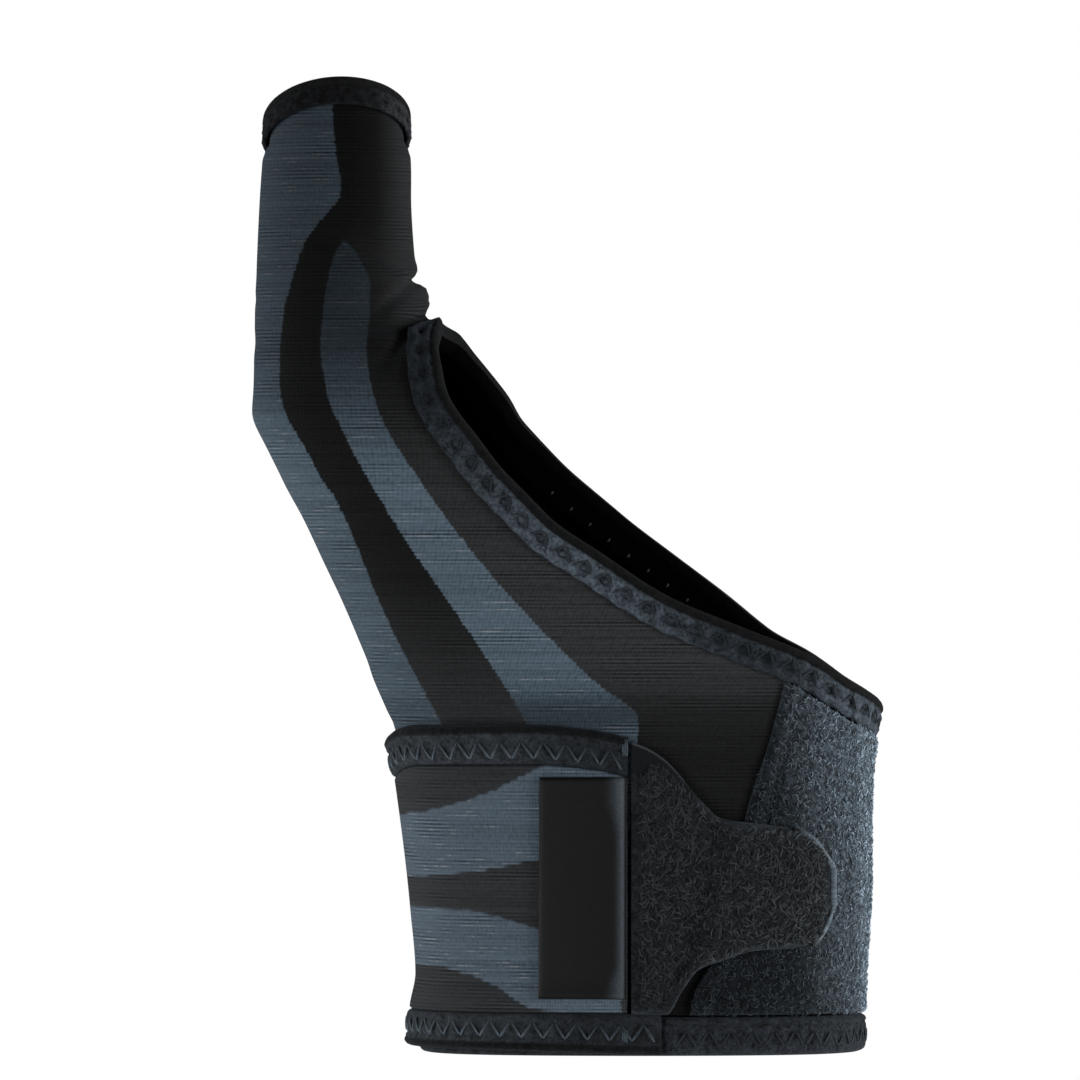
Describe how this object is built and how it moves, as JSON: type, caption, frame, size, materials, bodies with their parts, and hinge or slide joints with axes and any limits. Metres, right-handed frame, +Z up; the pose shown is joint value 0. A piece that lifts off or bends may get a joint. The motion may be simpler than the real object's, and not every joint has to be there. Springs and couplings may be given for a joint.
{
  "type": "thumb spica splint",
  "caption": "Knitted wrist brace with a thumb tube, a hand opening, a loop panel and a hook-and-loop wrist strap, in its worn shape",
  "frame": {"origin": "centre of the wrist opening, in the plane of the cuff's lower edge", "axes": "+Z runs up the forearm towards the hand, -Y faces out of the back of the hand, -X is the thumb side"},
  "size_m": [0.097, 0.0528, 0.1501],
  "materials": {
    "knit": "fine ribbed stretch knit, charcoal with slate blue stripes",
    "hem_binding": "matt folded stretch binding with zigzag stitching",
    "loop_pile": "fuzzy loop pile, slate grey",
    "tab_pile": "dark brushed pile backing of the hook tab",
    "patch": "satin black soft rubber"
  },
  "bodies": {
    "root": {"sleeve": "knit", "cuff_hem": "hem_binding", "hand_opening_hem": "hem_binding", "thumb_hem": "hem_binding", "loop_panel": "loop_pile", "wrist_strap": "knit", "strap_top_hem": "hem_binding", "strap_bottom_hem": "hem_binding", "hook_tab": "tab_pile", "label_patch": "patch"}
  },
  "joints": []
}
